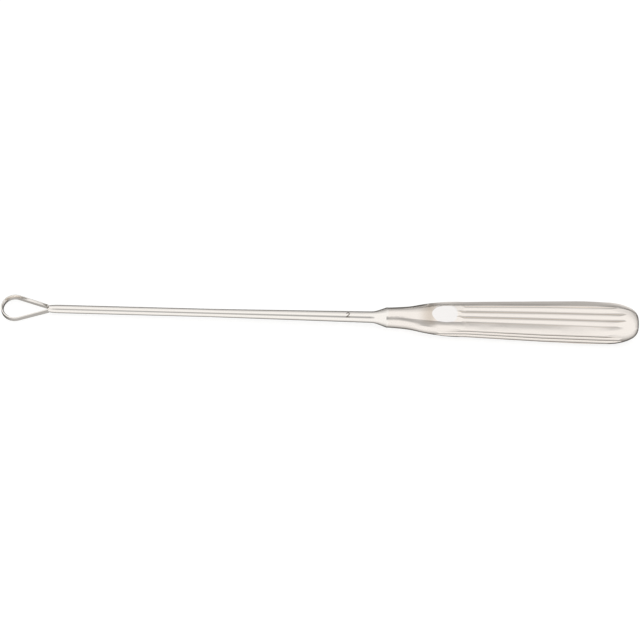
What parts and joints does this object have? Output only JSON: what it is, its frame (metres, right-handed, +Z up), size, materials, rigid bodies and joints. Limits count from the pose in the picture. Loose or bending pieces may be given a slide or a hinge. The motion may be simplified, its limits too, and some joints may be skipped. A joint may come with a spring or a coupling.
{
  "type": "uterine curette",
  "caption": "Sharp uterine curette: a teardrop cutting loop on a long tapered shank, set in a fluted handle with a thumb rest and a domed butt.",
  "frame": {"origin": "the middle of the underside of the box around the curette, on the table that it lies on", "axes": "+X from the loop to the butt of the handle, +Y across the loop, +Z up through the thumb rest"},
  "size_m": [0.28, 0.017, 0.0114],
  "materials": {
    "shank_steel": "polished stainless steel",
    "handle_steel": "satin polished stainless steel"
  },
  "bodies": {
    "root": {"shank_with_loop": "shank_steel", "handle": "handle_steel"}
  },
  "joints": []
}
